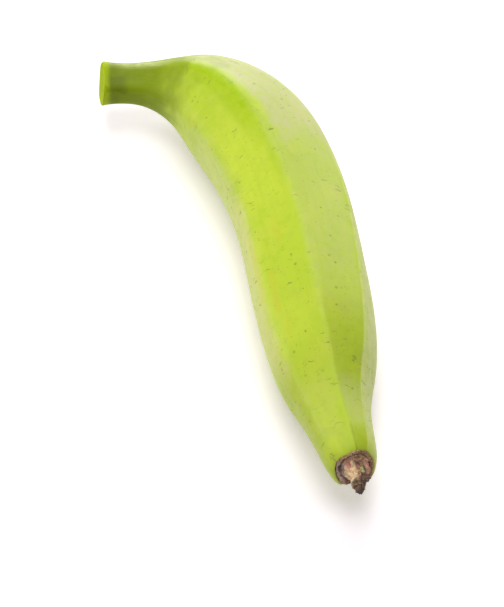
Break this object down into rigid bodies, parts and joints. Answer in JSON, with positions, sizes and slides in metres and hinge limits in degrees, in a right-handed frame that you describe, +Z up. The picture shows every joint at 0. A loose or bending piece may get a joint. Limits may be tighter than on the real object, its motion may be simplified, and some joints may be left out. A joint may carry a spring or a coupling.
{
  "type": "plantain",
  "caption": "Whole green plantain lying on its side, with a cut stem, a curved five-sided body and a dried blossom end.",
  "frame": {"origin": "centre of the underside of the bounding box, on the surface that the fruit lies on", "axes": "+Z up, -Y towards the blossom end, -X towards the cut stem, +X towards the outside of the curve"},
  "size_m": [0.1206, 0.2216, 0.0503],
  "materials": {
    "peel": "smooth waxy green peel with soft sheen, brown specks and fine scratches",
    "cut_stem": "moist fibrous cut, pale yellow-green with a brighter rim",
    "dried_end": "dry crumpled brown remains of the flower, tan to dark purple-brown, matt"
  },
  "bodies": {
    "root": {"plantain": "peel"}
  },
  "joints": []
}
